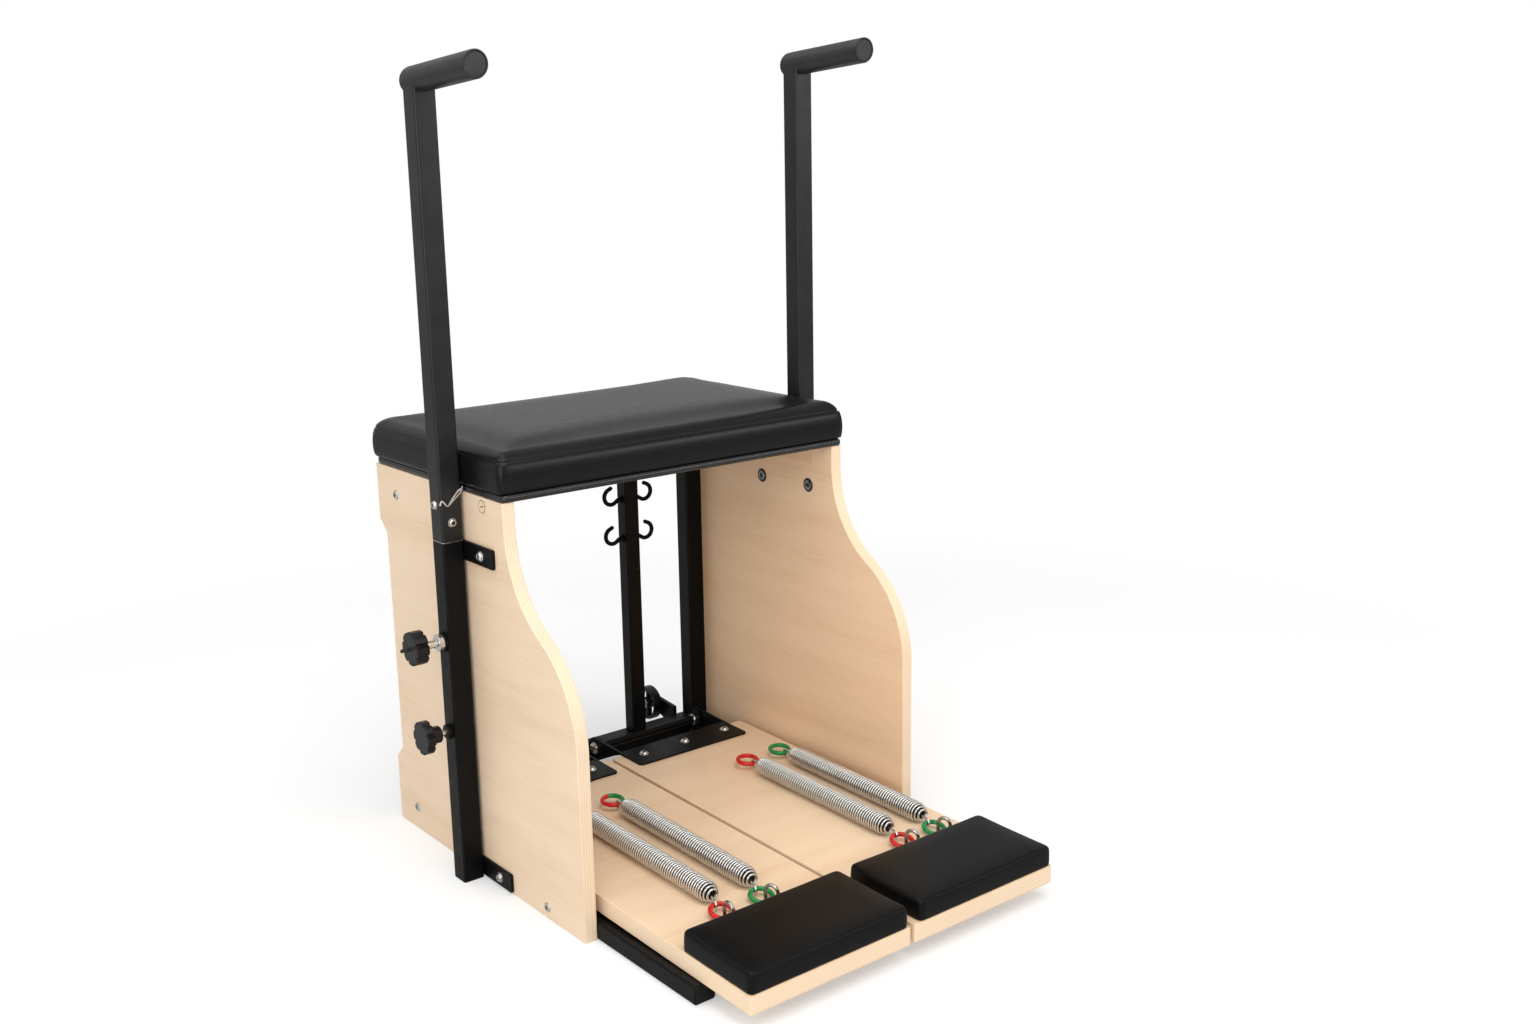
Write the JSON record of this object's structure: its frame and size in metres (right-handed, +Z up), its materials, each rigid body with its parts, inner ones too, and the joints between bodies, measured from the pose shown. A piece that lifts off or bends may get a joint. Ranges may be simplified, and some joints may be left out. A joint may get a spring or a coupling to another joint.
{
  "type": "pilates chair",
  "caption": "Pilates chair with plywood sides, padded seat, split spring-loaded foot pedals hinged at the rear and height-adjustable side handles.",
  "frame": {"origin": "on the floor, under the middle of the chair's bounding box", "axes": "+Z up, -Y towards the front where the pedals point, +X to the right seen from the front"},
  "size_m": [0.7514, 0.88, 1.1034],
  "materials": {
    "birch_plywood": "satin lacquer",
    "pedal_plywood": "satin lacquer",
    "black_frame": "satin powder coat",
    "black_board": "black stain",
    "seat_vinyl": "soft sheen",
    "pad_foam": "matt",
    "grip_foam": "matt",
    "knob_plastic": "satin",
    "bright_steel": "nickel plated",
    "spring_steel": "nickel plated",
    "red_coat": "glossy dip coat",
    "green_coat": "glossy dip coat",
    "wheel_plastic": "satin"
  },
  "bodies": {
    "frame": {"seat_board": "black_board", "seat_cushion": "seat_vinyl", "rear_cross_tube": "black_frame", "side_panel_left": "birch_plywood", "seat_angle_left": "black_frame", "rear_post_left": "black_frame", "hook_post_left": "black_frame", "hook_pair_upper_left": "black_frame", "hook_pair_lower_left": "black_frame", "floor_rail_left": "black_frame", "handle_sleeve_left": "black_frame", "wheel_arm_left": "black_frame", "pivot_rod_left": "bright_steel", "side_panel_right": "birch_plywood", "seat_angle_right": "black_frame", "rear_post_right": "black_frame", "hook_post_right": "black_frame", "hook_pair_upper_right": "black_frame", "hook_pair_lower_right": "black_frame", "floor_rail_right": "black_frame", "handle_sleeve_right": "black_frame", "wheel_arm_right": "black_frame", "pivot_rod_right": "bright_steel"},
    "handle_left": {"handle_post_left": "black_frame", "inner_post_left": "black_frame", "handle_grip_left": "grip_foam", "post_clip_left": "bright_steel"},
    "pull_pin_left": {"pull_pin_left": "knob_plastic"},
    "clamp_knob_left": {"clamp_knob_left": "knob_plastic"},
    "wheel_left": {"wheel_left": "wheel_plastic"},
    "pedal_left": {"pedal_board_left": "pedal_plywood", "pedal_pad_left": "pad_foam", "hinge_bracket_left": "black_frame", "spring_staple_left_red": "bright_steel", "spring_staple_left_green": "bright_steel"},
    "handle_right": {"handle_post_right": "black_frame", "inner_post_right": "black_frame", "handle_grip_right": "grip_foam", "post_clip_right": "bright_steel"},
    "pull_pin_right": {"pull_pin_right": "knob_plastic"},
    "clamp_knob_right": {"clamp_knob_right": "knob_plastic"},
    "wheel_right": {"wheel_right": "wheel_plastic"},
    "pedal_right": {"pedal_board_right": "pedal_plywood", "pedal_pad_right": "pad_foam", "hinge_bracket_right": "black_frame", "spring_staple_right_red": "bright_steel", "spring_staple_right_green": "bright_steel"},
    "spring_left_red": {"spring_coil_left_red": "spring_steel", "spring_ring_front_left_red": "red_coat", "spring_ring_rear_left_red": "red_coat"},
    "spring_left_green": {"spring_coil_left_green": "spring_steel", "spring_ring_front_left_green": "green_coat", "spring_ring_rear_left_green": "green_coat"},
    "spring_right_red": {"spring_coil_right_red": "spring_steel", "spring_ring_front_right_red": "red_coat", "spring_ring_rear_right_red": "red_coat"},
    "spring_right_green": {"spring_coil_right_green": "spring_steel", "spring_ring_front_right_green": "green_coat", "spring_ring_rear_right_green": "green_coat"}
  },
  "joints": [
    {"name": "handle_left_slide", "type": "slide", "parent": "frame", "child": "handle_left", "axis": [0, 0, 1], "range_m": [0, 0.168]},
    {"name": "pull_pin_left_slide", "type": "slide", "parent": "frame", "child": "pull_pin_left", "axis": [-1, 0, 0], "range_m": [0, 0.009], "stiffness_N_per_m": 1500, "springref_m": -0.006},
    {"name": "clamp_knob_left_turn", "type": "hinge", "parent": "frame", "child": "clamp_knob_left", "pos_m": [-0.299, 0.11604, 0.214], "axis": [-1, 0, 0], "range_deg": [0, 360]},
    {"name": "wheel_left_spin", "type": "hinge", "parent": "frame", "child": "wheel_left", "pos_m": [-0.205, 0.41204, 0.0465], "axis": [1, 0, 0], "continuous": true},
    {"name": "pedal_left_hinge", "type": "hinge", "parent": "frame", "child": "pedal_left", "pos_m": [-0.1265, 0.29404, 0.048], "axis": [-1, 0, 0], "range_deg": [0, 45]},
    {"name": "handle_right_slide", "type": "slide", "parent": "frame", "child": "handle_right", "axis": [0, 0, 1], "range_m": [-0.028, 0.14]},
    {"name": "pull_pin_right_slide", "type": "slide", "parent": "frame", "child": "pull_pin_right", "axis": [1, 0, 0], "range_m": [0, 0.009], "stiffness_N_per_m": 1500, "springref_m": -0.006},
    {"name": "clamp_knob_right_turn", "type": "hinge", "parent": "frame", "child": "clamp_knob_right", "pos_m": [0.299, 0.11604, 0.214], "axis": [1, 0, 0], "range_deg": [0, 360]},
    {"name": "wheel_right_spin", "type": "hinge", "parent": "frame", "child": "wheel_right", "pos_m": [0.205, 0.41204, 0.0465], "axis": [1, 0, 0], "continuous": true},
    {"name": "pedal_right_hinge", "type": "hinge", "parent": "frame", "child": "pedal_right", "pos_m": [0.1265, 0.29404, 0.048], "axis": [-1, 0, 0], "range_deg": [0, 45]},
    {"name": "spring_left_red_swing", "type": "hinge", "parent": "pedal_left", "child": "spring_left_red", "pos_m": [-0.155, -0.28752, 0.0526], "axis": [1, 0, 0], "range_deg": [0, 45]},
    {"name": "spring_left_green_swing", "type": "hinge", "parent": "pedal_left", "child": "spring_left_green", "pos_m": [-0.093, -0.28752, 0.0526], "axis": [1, 0, 0], "range_deg": [0, 45]},
    {"name": "spring_right_red_swing", "type": "hinge", "parent": "pedal_right", "child": "spring_right_red", "pos_m": [0.143, -0.28752, 0.0526], "axis": [1, 0, 0], "range_deg": [0, 45]},
    {"name": "spring_right_green_swing", "type": "hinge", "parent": "pedal_right", "child": "spring_right_green", "pos_m": [0.206, -0.28752, 0.0526], "axis": [1, 0, 0], "range_deg": [0, 45]}
  ]
}
